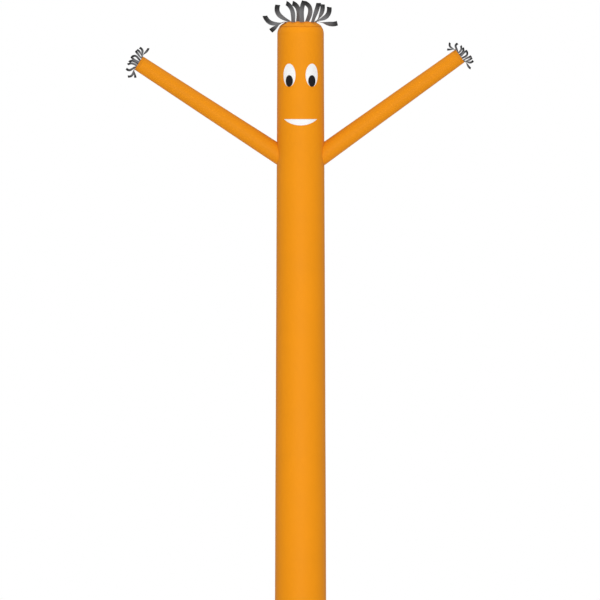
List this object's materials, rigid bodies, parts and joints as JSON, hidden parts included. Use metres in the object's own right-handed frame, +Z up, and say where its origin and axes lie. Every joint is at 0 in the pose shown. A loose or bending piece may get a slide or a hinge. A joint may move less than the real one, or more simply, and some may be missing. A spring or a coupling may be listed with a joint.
{
  "type": "inflatable air dancer",
  "caption": "Tall tapered cloth tube that air holds upright, with a rounded head, raised arms, a sewn-on smiling face and tufts of cloth strips.",
  "frame": {"origin": "on the tube's axis, where its open hem meets the ground", "axes": "+Z up along the tube, front with the face towards -Y, +X to the right as seen from the front"},
  "size_m": [3.0762, 0.4572, 6.0916],
  "materials": {
    "orange_tube": "light coated nylon, fine weave, soft sheen",
    "orange_head": "light coated nylon, fine weave, soft sheen",
    "orange_arms": "light coated nylon, fine weave, soft sheen",
    "white_patches": "white nylon, matt",
    "black_patches": "black nylon, matt",
    "charcoal_strips": "charcoal ribbon cloth, satin"
  },
  "bodies": {
    "root": {"body_tube": "orange_tube", "head_top": "orange_head", "arm_left": "orange_arms", "arm_right": "orange_arms", "eye_white_left": "white_patches", "eye_white_right": "white_patches", "smile": "white_patches", "pupil_left": "black_patches", "pupil_right": "black_patches", "hair_head": "charcoal_strips", "hair_left_hand": "charcoal_strips", "hair_right_hand": "charcoal_strips"}
  },
  "joints": []
}
